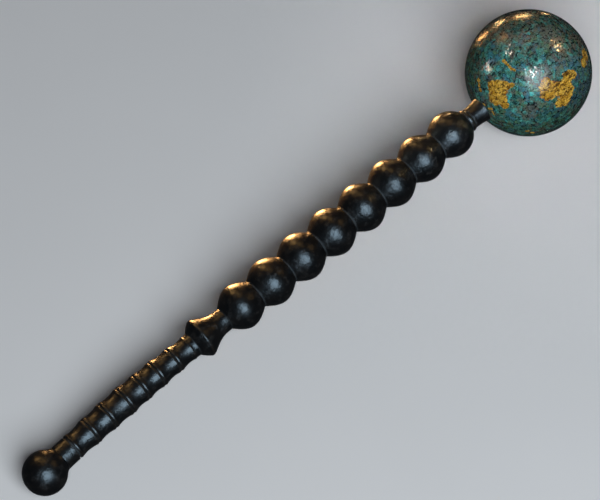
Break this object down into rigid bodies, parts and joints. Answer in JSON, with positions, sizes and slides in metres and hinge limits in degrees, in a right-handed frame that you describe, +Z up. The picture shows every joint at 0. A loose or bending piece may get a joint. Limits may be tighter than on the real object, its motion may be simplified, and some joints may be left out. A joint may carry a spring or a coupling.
{
  "type": "elder staff",
  "caption": "Ceremonial staff lying down: a turned shaft with a noded grip, a flange and a row of balls, a mottled globe on its neck and a ball at its foot.",
  "frame": {"origin": "on the floor, below the middle of the lying staff's box", "axes": "+X along the lying staff from its foot ball to its globe, +Y to its left, +Z up"},
  "size_m": [0.746, 0.133, 0.1324],
  "materials": {
    "black_lacquer": "near-black satin lacquer with a faint brown cast, lightly scratched",
    "verdigris_varnish": "mottled green-blue paint with gilded patches under a glossy varnish"
  },
  "bodies": {
    "root": {"turned_shaft": "black_lacquer", "pommel_ball": "black_lacquer", "globe_head": "verdigris_varnish"}
  },
  "joints": []
}
